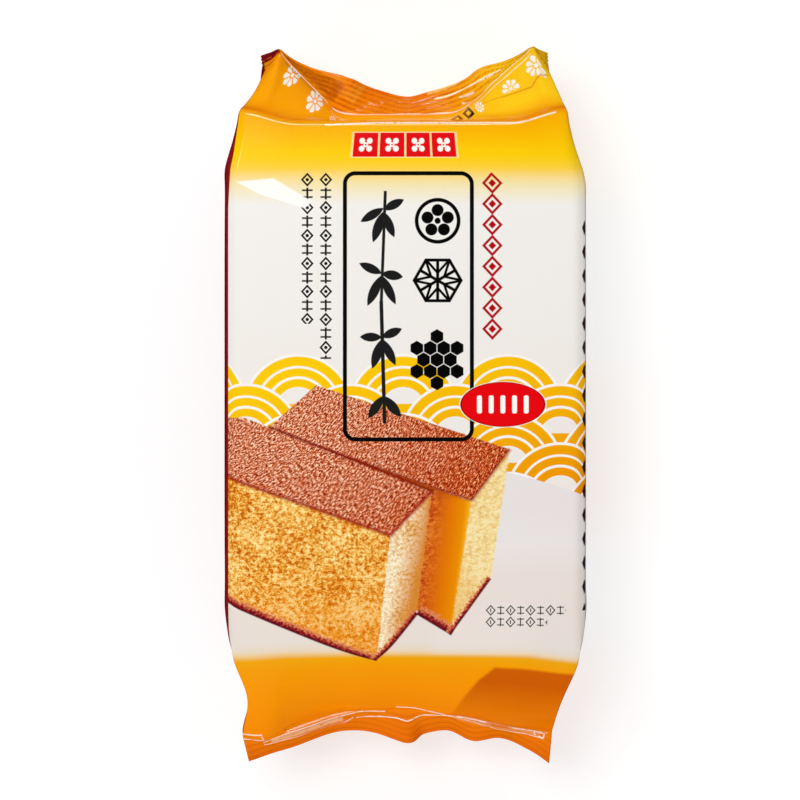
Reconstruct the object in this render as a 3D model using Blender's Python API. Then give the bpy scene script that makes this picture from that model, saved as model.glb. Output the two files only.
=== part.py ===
"""A shut, gusseted film pack of sliced castella sponge cake, lying on its back with its printed face up.

One closed solid: the flat-sided body over the cake, and at each end the tucked-in gussets, the folded
end flaps and the crimped fin seal with its ribs. Run with blender --background --python part.py.

Metres, +Z up, +Y towards the top of the printed face, +X to the face's right. The origin is the middle
of the bounding box's underside.
"""

import bmesh
import bpy
import numpy as np

MM = 0.001

# Body: five slices stood in a row, with the film drawn over them.
BODY_WIDTH = 104 * MM
BODY_THICK = 54 * MM
BODY_LENGTH = 154 * MM
CORNER_RADIUS = 5 * MM
FACE_CROWN = 1.0 * MM
SIDE_SWELL = 0.8 * MM
SHOULDER_SWELL = 2.2 * MM
SHOULDER_REACH = 7 * MM
SHOULDER_SETBACK = 9 * MM

# Film at the ends: a gusset half the body's thickness deep, flaps of this solid thickness, and the fin seal.
GUSSET_DEPTH = BODY_THICK / 2
FLAP_THICK = 0.55 * MM
GUSSET_GAP = 0.35 * MM
SEAL_WIDTH = 11.5 * MM
RIB_COUNT = 5
RIB_HEIGHT = 0.35 * MM

# The lengthwise seam, folded flat on the back from the middle towards -X.
FIN_WIDTH = 10 * MM
FIN_THICK = 0.4 * MM
FIN_SAG_REACH = 15 * MM

# How the solid is divided: segments in each gusset layer, which is also the count of rows along a flap,
# and in the middle of a panel.
GUSSET_SEGMENTS = 6
MIDDLE_SEGMENTS = 10
BODY_ROWS = (-1, -0.985, -0.95, -0.9, -0.84, -0.76, -0.4, 0, 0.4, 0.72, 0.78, 0.84, 0.9, 0.95, 0.985, 1)

# Each end seal from the face's left to its right, in millimetres from the body's middle:
# (distance along the flat seal, its inner line's x, y, z, its cut edge's x, y).
TOP_SEAL = (
    (-52.0, -42.6, 95.2, 32.0, -43.6, 99.6),
    (-45.5, -37.5, 99.2, 38.0, -38.3, 101.6),
    (-35.9, -31.4, 92.8, 35.0, -29.1, 96.6),
    (-27.0, -25.6, 87.3, 31.0, -19.5, 94.2),
    (-20.7, -21.2, 83.0, 29.0, -16.1, 92.9),
    (-8.7, -9.2, 81.9, 28.0, -8.4, 90.3),
    (0.0, -0.2, 81.9, 28.0, 0.4, 88.3),
    (7.5, 7.3, 81.9, 28.0, 6.8, 89.7),
    (14.9, 14.8, 82.5, 28.5, 12.5, 91.2),
    (22.0, 20.7, 85.8, 31.0, 17.6, 93.1),
    (29.8, 26.3, 90.9, 33.0, 23.0, 96.6),
    (37.1, 31.5, 95.3, 36.0, 30.5, 98.5),
    (46.0, 37.7, 100.7, 38.0, 38.2, 102.5),
    (52.0, 42.4, 96.2, 32.0, 42.8, 101.0),
)
BOTTOM_SEAL = (
    (-52.0, -48.6, -102.9, 36.0, -47.2, -111.4),
    (-44.8, -42.4, -104.4, 34.5, -41.4, -110.2),
    (-36.4, -35.1, -102.7, 33.0, -34.9, -108.5),
    (-17.5, -18.7, -97.7, 30.0, -18.3, -103.7),
    (-7.8, -10.1, -96.2, 29.0, -9.6, -104.3),
    (0.0, -0.2, -96.4, 28.5, 0.4, -107.1),
    (9.6, 5.8, -97.0, 28.5, 6.2, -104.6),
    (17.2, 12.7, -98.0, 29.0, 13.2, -103.8),
    (24.6, 19.2, -99.3, 30.0, 19.8, -106.6),
    (34.8, 28.1, -101.4, 31.5, 28.8, -105.8),
    (45.0, 37.5, -102.1, 33.0, 36.9, -108.9),
    (52.0, 43.5, -102.4, 35.0, 43.0, -112.4),
)

# Past the seal's last sealed place the two pairs of layers part: how far each stands from the middle at
# the seal's end, as (x, y, z) in millimetres for the face's pair; the back's pair goes the other way.
PARTING_REACH = 10 * MM
PARTING = {
    ("left", 1): (0.8, -1.4, 4.0),
    ("right", 1): (-0.7, -0.9, 4.0),
    ("left", -1): (0.1, -0.4, 0.7),
    ("right", -1): (0.0, 0.3, 0.7),
}

# Face's corners at each fold: how far the edge is drawn in, over what stretch, how far the fold runs on
# past the body's end there and how far it drops, and the waist in the flap's edge beyond it.
CORNERS = {
    ("left", 1): (3.0 * MM, 14 * MM, 3.6 * MM, 3.0 * MM, 0.8 * MM),
    ("right", 1): (4.6 * MM, 19 * MM, 3.8 * MM, 3.0 * MM, 0.0 * MM),
    ("left", -1): (0.6 * MM, 8 * MM, 1.0 * MM, 2.0 * MM, 3.2 * MM),
    ("right", -1): (0.6 * MM, 10 * MM, 2.0 * MM, 2.0 * MM, 0.6 * MM),
}
CORNER_SHARE = 0.35


def ease(value):
    """0 below 0, 1 above 1, and a smooth step between."""
    value = np.clip(value, 0, 1)
    return value * value * (3 - 2 * value)


def through(stations, at):
    """A smooth curve through the stations' columns, read at these values of the first column."""
    table = np.array(stations, float)
    known, columns = table[:, 0], table[:, 1:]
    slopes = np.gradient(columns, known, axis=0)
    i = np.clip(np.searchsorted(known, at) - 1, 0, len(known) - 2)
    gap = (known[i + 1] - known[i])[:, None]
    t = ((at - known[i]) / gap[:, 0])[:, None]
    return (
        columns[i] * (1 + 2 * t) * (1 - t) ** 2
        + columns[i + 1] * t**2 * (3 - 2 * t)
        + slopes[i] * gap * t * (1 - t) ** 2
        - slopes[i + 1] * gap * t**2 * (1 - t)
    )


def unit(vectors):
    return vectors / np.linalg.norm(vectors, axis=-1, keepdims=True)


def corner(across, end):
    """The five corner values for each place across: the left corner's or the right one's."""
    left, right = np.array(CORNERS["left", end]), np.array(CORNERS["right", end])
    return np.where(across[:, None] < 0, left, right)


def face_point(across, share, front=True):
    """The face or back before its edges are rounded: across and share run from -1 to 1."""
    end = 1 if share > 0 else -1
    drawn_in, stretch, run_on, drop, _ = corner(across, end).T
    half = BODY_LENGTH / 2
    near_end = ease((abs(share) * half - (half - stretch)) / stretch)
    near_corner = ease((abs(across) - 1 + CORNER_SHARE) / CORNER_SHARE)
    x = across * (BODY_WIDTH / 2 - drawn_in * near_end)
    y = share * half * np.ones(len(across))
    if not front:
        return np.stack([x, y, back_hollow(across)], axis=1)
    last_part = ease((abs(share) - 0.85) / 0.15)
    y = y + end * run_on * near_corner * last_part
    crown = FACE_CROWN * (1 - across**2) * (1 - share**2)
    return np.stack([x, y, BODY_THICK + crown - drop * near_corner * last_part], axis=1)


def back_hollow(across):
    """The back's height: the seam lies flat on it, and the film sags beside the seam's free edge."""
    x = across * BODY_WIDTH / 2
    sag = 1 - ease((-FIN_WIDTH - x) / FIN_SAG_REACH)
    return FIN_THICK * np.where(x > 0, 1 - ease(x / FIN_SAG_REACH), np.where(x >= -FIN_WIDTH, 0, sag))


def side_point(w, share, side):
    """The side panel, w from 0 at the face's edge to 1 at the back's, with its swell."""
    sign = 1 if side == "right" else -1
    edge = np.full(len(w), float(sign))
    upper, lower = face_point(edge, share), face_point(edge, share, front=False)
    half = BODY_LENGTH / 2
    from_shoulder = (half - abs(share) * half - SHOULDER_SETBACK) / SHOULDER_REACH
    swell = SIDE_SWELL * (1 - share**8) + SHOULDER_SWELL * np.exp(-(from_shoulder**2)) * (1 - share**8)
    point = upper + (lower - upper) * w[:, None]
    point[:, 0] += sign * swell * np.sin(np.pi * w) ** 0.8
    return point


class End:
    """One closed end of the pack: the panels from the body's edge to the seal, and the crimped strip."""

    def __init__(self, direction, stations):
        self.direction = direction
        self.stations = stations

    def seal(self, across, layer):
        """Inner line, direction out to the cut edge, and normal towards the face, at each place across."""
        reach = BODY_WIDTH / 2 / MM
        here, before, after = (
            through(self.stations, np.clip(across * reach + shift, -reach, reach)) for shift in (0, -0.5, 0.5)
        )
        line = here[:, :3] * MM
        over = here[:, 3:5] * MM - line[:, :2]
        down = np.sqrt(np.maximum(SEAL_WIDTH**2 - (over**2).sum(axis=1), 0))
        strip = unit(np.column_stack([over, -down]))
        tangent = unit(after[:, :3] - before[:, :3])
        normal = unit(np.cross(tangent, strip) * self.direction)
        left, right = (np.array(PARTING[side, self.direction]) * MM for side in ("left", "right"))
        parting = np.where(across[:, None] < 0, left, right)
        parted = ease(1 - (1 - abs(across)) * BODY_WIDTH / 2 / PARTING_REACH)
        return line + parting * parted[:, None] * np.sign(layer), strip, normal

    def strip_point(self, across, distance, layer):
        """Layers 2 and -2 are the strip's outer faces, and 1 and -1 the gusset's two."""
        line, strip, normal = self.seal(across, layer)
        offset = np.sign(layer) * (GUSSET_GAP / 2 + (FLAP_THICK if abs(layer) == 2 else 0))
        offset += RIB_HEIGHT / 2 * np.sin(2 * np.pi * distance / SEAL_WIDTH * RIB_COUNT)
        return line + strip * distance + normal * offset

    def panel_point(self, across, t, layer):
        """The face's flap (layer above 0) or the back's at share t of the way from the body to the seal."""
        start = face_point(across, float(self.direction), front=layer > 0)
        finish = self.strip_point(across, 0.0, layer)
        steepness = 1.0
        if layer > 0:
            steepness = 0.75 if self.direction > 0 else 1.3
        path = start + (finish - start) * t
        path[:, 2] = start[:, 2] + (finish[:, 2] - start[:, 2]) * t**steepness
        waist = corner(across, self.direction)[:, 4]
        path[:, 0] -= np.sign(across) * waist * np.sin(np.pi * t) ** 1.5 * abs(across) ** 3
        if abs(layer) == 1:
            path[:, 2] -= np.sign(layer) * FLAP_THICK * (ease(t / 0.2) - t)
        return path

    def gusset_point(self, w, t, side):
        """The tucked side panel, w from 0 at the face's edge to 1 at the back's."""
        sign = 1 if side == "right" else -1
        tuck = GUSSET_DEPTH / (BODY_WIDTH / 2)
        share = np.minimum(np.minimum(w, 1 - w), t / 2)
        across = sign * (1 - 2 * share * tuck)
        upper = self.panel_point(across, t, 1)
        lower = self.panel_point(across, t, -1)
        height = np.clip((w - t / 2) / max(1 - t, 1e-6), 0, 1)[:, None]
        return upper + (lower - upper) * height


def loop_places():
    """Places across the face and back, from right to left, and down a side without its two edges."""
    tuck = GUSSET_DEPTH / (BODY_WIDTH / 2)
    outer = 1 - tuck * np.arange(GUSSET_SEGMENTS) / GUSSET_SEGMENTS
    middle = np.linspace(1 - tuck, tuck - 1, MIDDLE_SEGMENTS + 1)
    side = np.arange(1, 2 * GUSSET_SEGMENTS) / (2 * GUSSET_SEGMENTS)
    return np.concatenate([outer, middle, -outer[::-1]]), side


def rounded_corner(distance, radius):
    """Shift, inwards and downwards, from a square corner to its arc, at a distance along the film from it."""
    q = np.clip(distance / radius, -1, 1)
    angle = (q + 1) * np.pi / 4
    square = np.stack([np.minimum(q, 0), -np.maximum(q, 0)], axis=-1)
    arc = np.stack([np.sin(angle) - 1, np.cos(angle) - 1], axis=-1)
    return (arc - square) * radius


def round_off(points, strength):
    """Rounds the four long edges of a loop by a strength from 0 to 1."""
    across, w = loop_places()
    radius = CORNER_RADIUS
    for key, up in (("front", 1), ("back", -1)):
        for sign in (1, -1):
            shift = rounded_corner((sign * across - 1) * BODY_WIDTH / 2, radius)
            points[key][:, 0] += sign * shift[:, 0] * strength
            points[key][:, 2] += up * shift[:, 1] * strength
    for side, sign in (("right", 1), ("left", -1)):
        for up, from_corner in ((1, w), (-1, 1 - w)):
            shift = rounded_corner(from_corner * BODY_THICK, radius)
            points[side][:, 0] += sign * shift[:, 0] * strength
            points[side][:, 2] += up * shift[:, 1] * strength
    return points


def body_loop(share):
    """The loop round the body at a share, -1 to 1, of its half length."""
    across, w = loop_places()
    points = {
        "front": face_point(across, share),
        "back": face_point(across, share, front=False),
        "right": side_point(w, share, "right"),
        "left": side_point(w, share, "left"),
    }
    return round_off(points, 1 - 0.5 * ease((abs(share) - 0.85) / 0.15))


def flap_loop(end, t):
    across, w = loop_places()
    points = {
        "front": end.panel_point(across, t, 2),
        "back": end.panel_point(across, t, -2),
        "right": end.gusset_point(w, t, "right"),
        "left": end.gusset_point(w, t, "left"),
    }
    return round_off(points, 0.5 * (1 - t) ** 4)


def strip_loop(end, distance):
    across, w = loop_places()
    tuck = GUSSET_DEPTH / (BODY_WIDTH / 2)
    points = {
        "front": end.strip_point(across, distance, 2),
        "back": end.strip_point(across, distance, -2),
    }
    for side, sign in (("right", 1), ("left", -1)):
        inward = sign * (1 - 2 * np.minimum(w, 1 - w) * tuck)
        upper = end.strip_point(inward, distance, 1)
        lower = end.strip_point(inward, distance, -1)
        height = np.where(np.isclose(w, 0.5), 0.5, np.where(w < 0.5, 0, 1))[:, None]
        points[side] = upper + (lower - upper) * height
    return points


def all_loops():
    """Every loop from the bottom seal's cut edge to the top seal's."""
    top, bottom = End(1, TOP_SEAL), End(-1, BOTTOM_SEAL)
    along_strip = np.linspace(SEAL_WIDTH, 0, 2 * RIB_COUNT + 1)
    along_flap = np.linspace(1, 0, GUSSET_SEGMENTS + 1)[1:-1]
    loops = [strip_loop(bottom, d) for d in along_strip]
    loops += [flap_loop(bottom, t) for t in along_flap]
    loops += [body_loop(share) for share in BODY_ROWS]
    loops += [flap_loop(top, t) for t in along_flap[::-1]]
    loops += [strip_loop(top, d) for d in along_strip[::-1]]
    return loops


def ordered(loop):
    """One loop's points in order: face right to left, down the left side, the back, and up the right side."""
    return np.concatenate([loop["front"], loop["left"], loop["back"][::-1], loop["right"][::-1]])


def add_walls(bm, rows):
    """Joins each loop to the next with triangles whose diagonals lie along the gussets' folds."""
    count = len(rows[0])
    face_count, side_count = 2 * GUSSET_SEGMENTS + MIDDLE_SEGMENTS, 2 * GUSSET_SEGMENTS
    for r, (lower, upper) in enumerate(zip(rows, rows[1:])):
        top_half = r >= len(rows) / 2
        for i in range(count):
            j = (i + 1) % count
            from_side = i - face_count if i < count / 2 else i - 2 * face_count - side_count
            leans_left = (0 <= from_side < GUSSET_SEGMENTS) == top_half
            if leans_left:
                bm.faces.new((lower[i], lower[j], upper[j]))
                bm.faces.new((lower[i], upper[j], upper[i]))
            else:
                bm.faces.new((lower[i], lower[j], upper[i]))
                bm.faces.new((lower[j], upper[j], upper[i]))


def close_cut_edge(bm, row):
    """Faces across the layers at a seal's cut edge: two flaps with the gusset's slot between them at each side."""
    faces, sides = 2 * GUSSET_SEGMENTS + MIDDLE_SEGMENTS + 1, 2 * GUSSET_SEGMENTS - 1
    front = row[:faces]
    left = row[faces : faces + sides]
    back = row[faces + sides : 2 * faces + sides][::-1]
    right = row[2 * faces + sides :][::-1]
    for side, edge, step in ((right, 0, 1), (left, faces - 1, -1)):
        for outer, inner in ((front, side), (back, side[::-1])):
            bm.faces.new((outer[edge], outer[edge + step], inner[0]))
            for k in range(1, GUSSET_SEGMENTS):
                here = edge + k * step
                bm.faces.new((outer[here], outer[here + step], inner[k], inner[k - 1]))
    first, last, valley = GUSSET_SEGMENTS, faces - 1 - GUSSET_SEGMENTS, GUSSET_SEGMENTS - 1
    bm.faces.new((front[first], front[first + 1], back[first + 1], back[first], right[valley]))
    for k in range(first + 1, last - 1):
        bm.faces.new((front[k], front[k + 1], back[k + 1], back[k]))
    bm.faces.new((front[last - 1], front[last], left[valley], back[last], back[last - 1]))


def film_print(name, colour):
    material = bpy.data.materials.new(name)
    material.use_nodes = True
    shader = material.node_tree.nodes["Principled BSDF"]
    shader.inputs["Base Color"].default_value = (*colour, 1)
    shader.inputs["Roughness"].default_value = 0.28
    shader.inputs["Metallic"].default_value = 0
    return material


def stand_on_origin(mesh):
    """Moves the mesh so that the origin is the middle of its box's underside."""
    points = np.array([v.co for v in mesh.vertices])
    low, high = points.min(axis=0), points.max(axis=0)
    for vertex, point in zip(mesh.vertices, points - [(low[0] + high[0]) / 2, (low[1] + high[1]) / 2, low[2]]):
        vertex.co = point


def make_pack():
    bm = bmesh.new()
    rows = [[bm.verts.new(point) for point in ordered(loop)] for loop in all_loops()]
    add_walls(bm, rows)
    close_cut_edge(bm, rows[0])
    close_cut_edge(bm, rows[-1])
    bmesh.ops.recalc_face_normals(bm, faces=bm.faces)
    mesh = bpy.data.meshes.new("cake_pack")
    bm.to_mesh(mesh)
    bm.free()
    stand_on_origin(mesh)
    mesh.materials.append(film_print("printed_film", (0.9, 0.36, 0.02)))
    return bpy.data.objects.new("cake_pack", mesh)


def main():
    for obj in list(bpy.data.objects):
        bpy.data.objects.remove(obj)
    parts = bpy.data.collections.new("castella_cake_pack")
    bpy.context.scene.collection.children.link(parts)
    parts.objects.link(make_pack())


main()
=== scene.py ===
"""Looks of a shut, gusseted film pack of castella sponge cake that lies on its back, print upwards.

The film is one flat sheet, drawn round the cake, tucked in at the sides and crimped at both ends. Its UV
map is the flat sheet in metres, and the print is worked out from that. Lengths below are millimetres.
"""

import math

import bmesh
import bpy
import numpy as np
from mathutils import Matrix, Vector


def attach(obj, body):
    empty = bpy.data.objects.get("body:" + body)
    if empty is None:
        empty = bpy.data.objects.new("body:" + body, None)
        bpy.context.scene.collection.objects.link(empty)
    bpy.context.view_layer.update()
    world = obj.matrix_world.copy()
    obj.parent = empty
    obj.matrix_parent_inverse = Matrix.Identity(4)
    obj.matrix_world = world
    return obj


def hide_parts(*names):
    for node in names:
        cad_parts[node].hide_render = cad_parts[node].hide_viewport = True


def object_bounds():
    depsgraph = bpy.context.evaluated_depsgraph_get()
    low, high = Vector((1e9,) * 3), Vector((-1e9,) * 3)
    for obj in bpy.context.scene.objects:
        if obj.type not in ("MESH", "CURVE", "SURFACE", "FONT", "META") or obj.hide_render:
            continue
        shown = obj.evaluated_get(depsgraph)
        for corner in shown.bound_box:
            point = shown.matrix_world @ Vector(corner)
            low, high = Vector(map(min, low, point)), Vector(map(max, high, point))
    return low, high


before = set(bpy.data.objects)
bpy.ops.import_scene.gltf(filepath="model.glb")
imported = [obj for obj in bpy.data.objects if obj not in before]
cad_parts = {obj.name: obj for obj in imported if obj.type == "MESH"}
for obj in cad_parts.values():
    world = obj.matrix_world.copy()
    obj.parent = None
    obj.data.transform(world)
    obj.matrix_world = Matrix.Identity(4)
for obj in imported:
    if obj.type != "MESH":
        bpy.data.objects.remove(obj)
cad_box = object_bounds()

MM = 0.001

# The cake's block and the film's lengths beyond it, at the top of the print and at the bottom.
BLOCK_WIDTH = 104.0
BLOCK_THICK = 54.0
BLOCK_LENGTH = 154.0
FLAP_LENGTH = {1: 27.5, -1: 32.0}
SEAL_WIDTH = 11.5
HALF_WIDTH, HALF_LENGTH = BLOCK_WIDTH / 2, BLOCK_LENGTH / 2
GIRTH = 2 * (BLOCK_WIDTH + BLOCK_THICK)
TUCK = BLOCK_THICK / BLOCK_WIDTH

# How finely the sheet is divided.
TUCK_SEGMENTS = 26
MIDDLE_SEGMENTS = 42
BLOCK_SEGMENTS = 110
SEGMENTS_PER_RIB = 8

EDGE_RADIUS = 3.4
FACE_CROWN = 1.0
SIDE_SWELL = {"left": 2.2, "right": 1.7}
SHOULDER_SWELL = {"left": 1.0, "right": 1.3}
SHOULDER_REACH = 7.0
SHOULDER_SETBACK = 9.0

# Layers of film in the seals: the outer faces and the two of the tucked-in side stand this far from the middle.
OUTER_LAYER = 0.28
TUCKED_LAYER = 0.10
RIB_COUNT = 5
RIB_DEPTH = {1: 0.8, -1: 0.2}
RIB_PITCH = {1: 1.6, -1: 1.9}
# How strongly shade is painted into the seals' rib grooves.
CRIMP_SHADE = {1: 0.6, -1: 0.25}
BEAD_HEIGHT, BEAD_REACH = 0.32, 0.7

# The seam on the back: a fin's thickness, free and in the end seals, how far it reaches, and its ribs.
FIN_THICK, FIN_SEALED = 0.3, 0.12
FIN_REACH = 10.0
FIN_RIBS, FIN_RIB_DEPTH = 5, 0.08

# Each end seal from the print's left to its right:
# (place along the flat seal, its inner line's x, y, z, its cut edge's x, y), from the middle of the block's back.
TOP_SEAL = (
    (-52.0, -42.6, 95.2, 32.0, -43.6, 99.6),
    (-46.5, -38.3, 98.6, 37.1, -39.1, 101.3),
    (-45.5, -37.5, 99.4, 38.0, -38.2, 101.9),
    (-44.5, -36.8, 98.5, 37.7, -37.2, 101.0),
    (-35.9, -31.4, 92.8, 35.0, -29.1, 96.6),
    (-27.0, -25.6, 87.3, 31.0, -19.5, 94.2),
    (-20.7, -21.2, 83.0, 29.0, -16.1, 92.9),
    (-8.7, -9.2, 81.9, 28.0, -8.4, 90.3),
    (0.0, -0.2, 81.9, 28.0, 0.4, 88.3),
    (7.5, 7.3, 81.9, 28.0, 6.8, 89.7),
    (14.9, 14.8, 82.5, 28.5, 12.5, 91.2),
    (22.0, 20.7, 85.8, 31.0, 17.6, 93.1),
    (29.8, 26.3, 90.9, 33.0, 23.0, 96.6),
    (37.1, 31.5, 95.3, 36.0, 30.5, 98.5),
    (45.0, 37.0, 100.1, 37.8, 37.3, 102.0),
    (46.0, 37.7, 100.9, 38.0, 38.2, 102.7),
    (47.0, 38.5, 99.9, 37.0, 39.0, 102.2),
    (52.0, 42.4, 96.2, 32.0, 42.8, 101.0),
)
BOTTOM_SEAL = (
    (-52.0, -48.6, -102.9, 36.0, -47.2, -111.4),
    (-44.8, -42.4, -104.4, 34.5, -41.4, -110.2),
    (-36.4, -35.1, -102.7, 33.0, -34.9, -108.5),
    (-17.5, -18.7, -97.7, 30.0, -18.3, -103.7),
    (-7.8, -10.1, -96.2, 29.0, -9.6, -104.3),
    (0.0, -0.2, -96.4, 28.5, 0.4, -107.1),
    (9.6, 5.8, -97.0, 28.5, 6.2, -104.6),
    (17.2, 12.7, -98.0, 29.0, 13.2, -103.8),
    (24.6, 19.2, -99.3, 30.0, 19.8, -106.6),
    (34.8, 28.1, -101.4, 31.5, 28.8, -105.8),
    (45.0, 37.5, -102.1, 33.0, 36.9, -108.9),
    (52.0, 43.5, -102.4, 35.0, 43.0, -112.4),
)
SEALS = {1: TOP_SEAL, -1: BOTTOM_SEAL}

# Past the last sealed place the print's layers and the back's part: how far each goes from their middle.
PARTING_REACH = 10.0
PARTING = {
    ("left", 1): (0.8, -1.4, 4.0),
    ("right", 1): (-0.7, -0.9, 4.0),
    ("left", -1): (0.1, -0.4, 0.7),
    ("right", -1): (0.0, 0.3, 0.7),
}

# The print's corners at each fold: how far the edge is drawn in, over what stretch, how far the fold runs
# on past the block there and how far it drops, and the waist in the flap's edge beyond it.
CORNERS = {
    ("left", 1): (3.0, 14.0, 3.6, 1.5, 0.8),
    ("right", 1): (4.6, 19.0, 3.8, 1.7, 0.0),
    ("left", -1): (0.6, 8.0, 1.0, 2.0, 3.2),
    ("right", -1): (0.6, 10.0, 2.0, 2.0, 0.6),
}
CORNER_SHARE = 0.35

# How tightly the film turns over the block's ends and into the seals.
FOLD_SOFTNESS = {1: 0.5, -1: 4.5}
SEAL_SOFTNESS = 0.35

# Just over the fold the print's flap slopes down gently before it drops: how far, and how steeply.
LIP_WIDTH = {1: 0.6, -1: 0.0}
LIP_SLOPE = 0.2

# Where a flap meets its seal it flattens to a narrow shelf: (place along the seal, width, rise across it).
SHELVES = {
    1: (
        (-52.0, 0.2, 0.0), (-45.0, 0.7, -0.1), (-26.0, 0.9, -0.15), (-21.0, 1.3, -0.26), (0.0, 1.0, -0.2),
        (20.0, 0.9, -0.18), (26.0, 0.6, -0.12), (46.0, 0.6, -0.12), (52.0, 0.2, 0.0),
    ),
    -1: (
        (-52.0, 0.6, 0.1), (-41.0, 0.6, 0.1), (-37.0, 1.9, 0.5), (-18.0, 2.0, 0.5), (-13.0, 0.9, 0.2),
        (0.0, 0.6, 0.1), (15.0, 0.6, 0.1), (20.0, 1.1, 0.25), (40.0, 0.9, 0.2), (52.0, 0.5, 0.1),
    ),
}

# Creases and dents in the printed side, on the flat sheet:
# (points, height, reach to the left of the line from its first point, reach to the right).
CREASES = (
    (((-51.5, 59.6), (-43.0, 60.5), (-37.0, 60.8), (-29.5, 55.2), (-27.0, 50.5)), -0.4, 14.0, 7.0),
    (((-46.0, 72.0), (-35.0, 64.0)), 0.12, 1.6, 2.6),
    (((-43.8, 103.5), (-42.0, 90.0)), -0.4, 3.5, 3.5),
    (((51.0, 97.5), (42.8, 89.0), (34.0, 91.5), (24.6, 95.2)), -1.7, 8.0, 9.0),
)
# The sagging corner of the bottom flap: its edge on the flat sheet, its slope and how far that slope goes on. The
# print paints shade over that corner.
SAG_EDGE = ((60.0, -83.6), (27.5, -83.5), (23.7, -89.8), (20.9, -97.8), (19.0, -106.0))
SAG_SLOPE, SAG_REACH = 0.3, 16.0


def ease(value):
    """0 below 0, 1 above 1, and a smooth step between."""
    value = np.clip(value, 0, 1)
    return value * value * (3 - 2 * value)


def through(stations, at):
    """A smooth curve through the stations' columns, read at these values of the first column."""
    table = np.array(stations, float)
    known, columns = table[:, 0], table[:, 1:]
    slopes = np.gradient(columns, known, axis=0)
    i = np.clip(np.searchsorted(known, at) - 1, 0, len(known) - 2)
    gap = (known[i + 1] - known[i])[:, None]
    t = ((at - known[i]) / gap[:, 0])[:, None]
    return (
        columns[i] * (1 + 2 * t) * (1 - t) ** 2
        + columns[i + 1] * t**2 * (3 - 2 * t)
        + slopes[i] * gap * t * (1 - t) ** 2
        - slopes[i + 1] * gap * t**2 * (1 - t)
    )


def unit(vectors):
    return vectors / np.linalg.norm(vectors, axis=-1, keepdims=True)


def closer_at_ends(count):
    """Places from 0 to 1 that lie closer together near both ends."""
    even = np.linspace(0, 1, count + 1)
    return 0.4 * even + 0.3 * (1 - np.cos(np.pi * even))


TUCK_PLACES = closer_at_ends(TUCK_SEGMENTS)


def corner(across, end):
    """The five corner values for each place across: the left corner's or the right one's."""
    left, right = np.array(CORNERS["left", end]), np.array(CORNERS["right", end])
    return np.where(across[:, None] < 0, left, right)


def beside(points, x, y):
    """Distance to a line of points on the flat sheet, above 0 on its left, and the share of the line there."""
    points = np.array(points, float)
    nearest, share = np.full(x.shape, np.inf), np.zeros(x.shape)
    lengths = np.linalg.norm(np.diff(points, axis=0), axis=1)
    before = 0.0
    for start, finish, length in zip(points, points[1:], lengths):
        along = (finish - start) / length
        s = np.clip((x - start[0]) * along[0] + (y - start[1]) * along[1], 0, length)
        dx, dy = x - start[0] - s * along[0], y - start[1] - s * along[1]
        distance = np.hypot(dx, dy) * np.where(along[0] * dy - along[1] * dx >= 0, 1, -1)
        closer = abs(distance) < abs(nearest)
        nearest = np.where(closer, distance, nearest)
        share = np.where(closer, (before + s) / lengths.sum(), share)
        before += length
    return nearest, share


def creased(across, y):
    """How far creases, dents and the seals' beads lift the printed side at places on the flat sheet."""
    x = across * HALF_WIDTH
    y = np.full(x.shape, float(y))
    lift = np.zeros(x.shape)
    for line, height, left, right in CREASES:
        distance, share = beside(line, x, y)
        fall = np.clip(1 - np.where(distance > 0, distance / left, -distance / right), 0, 1)
        lift += height * fall ** np.where(distance > 0, 1.5, 1.0) * ease(np.minimum(share, 1 - share) * 5)
    if y[0] < -HALF_LENGTH:
        distance, _ = beside(SAG_EDGE, x, y)
        from_seal = max(HALF_LENGTH + FLAP_LENGTH[-1] + y[0], 0)
        sag = SAG_REACH * (1 - np.exp(-np.maximum(distance, 0) / SAG_REACH))
        lift -= SAG_SLOPE * sag * (1 - math.exp(-((from_seal / 5) ** 2)))
    for end in (1, -1):
        from_line = y - end * (HALF_LENGTH + FLAP_LENGTH[end])
        lift += BEAD_HEIGHT * np.exp(-((from_line / BEAD_REACH * 1.6) ** 2))
    return lift


def face_point(across, share, printed=True):
    """The printed face, or the back, before its edges are rounded: across and share run from -1 to 1."""
    end = 1 if share > 0 else -1
    drawn_in, stretch, run_on, drop, _ = corner(across, end).T
    near_end = ease((abs(share) * HALF_LENGTH - (HALF_LENGTH - stretch)) / stretch)
    near_corner = ease((abs(across) - 1 + CORNER_SHARE) / CORNER_SHARE)
    x = across * (HALF_WIDTH - drawn_in * near_end)
    y = share * HALF_LENGTH * np.ones(len(across))
    if not printed:
        return np.stack([x, y, 0 * x], axis=1)
    last_part = ease((abs(share) - 0.85) / 0.15)
    dropping = ease((abs(share) - 0.7) / 0.3)
    y = y + end * run_on * near_corner * last_part
    crown = FACE_CROWN * (1 - across**2) * (1 - share**2) + creased(across, share * HALF_LENGTH)
    return np.stack([x, y, BLOCK_THICK + crown - drop * near_corner * dropping], axis=1)


def side_point(w, share, side):
    """The side panel, w from 0 at the print's edge to 1 at the back's, with its swell."""
    sign = 1 if side == "right" else -1
    edge = np.full(len(w), float(sign))
    upper, lower = face_point(edge, share), face_point(edge, share, printed=False)
    from_shoulder = (HALF_LENGTH - abs(share) * HALF_LENGTH - SHOULDER_SETBACK) / SHOULDER_REACH
    swell = (SIDE_SWELL[side] + SHOULDER_SWELL[side] * np.exp(-(from_shoulder**2))) * (1 - share**8)
    point = upper + (lower - upper) * w[:, None]
    point[:, 0] += sign * swell * np.sin(np.pi * w) ** 0.8
    return point


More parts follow.
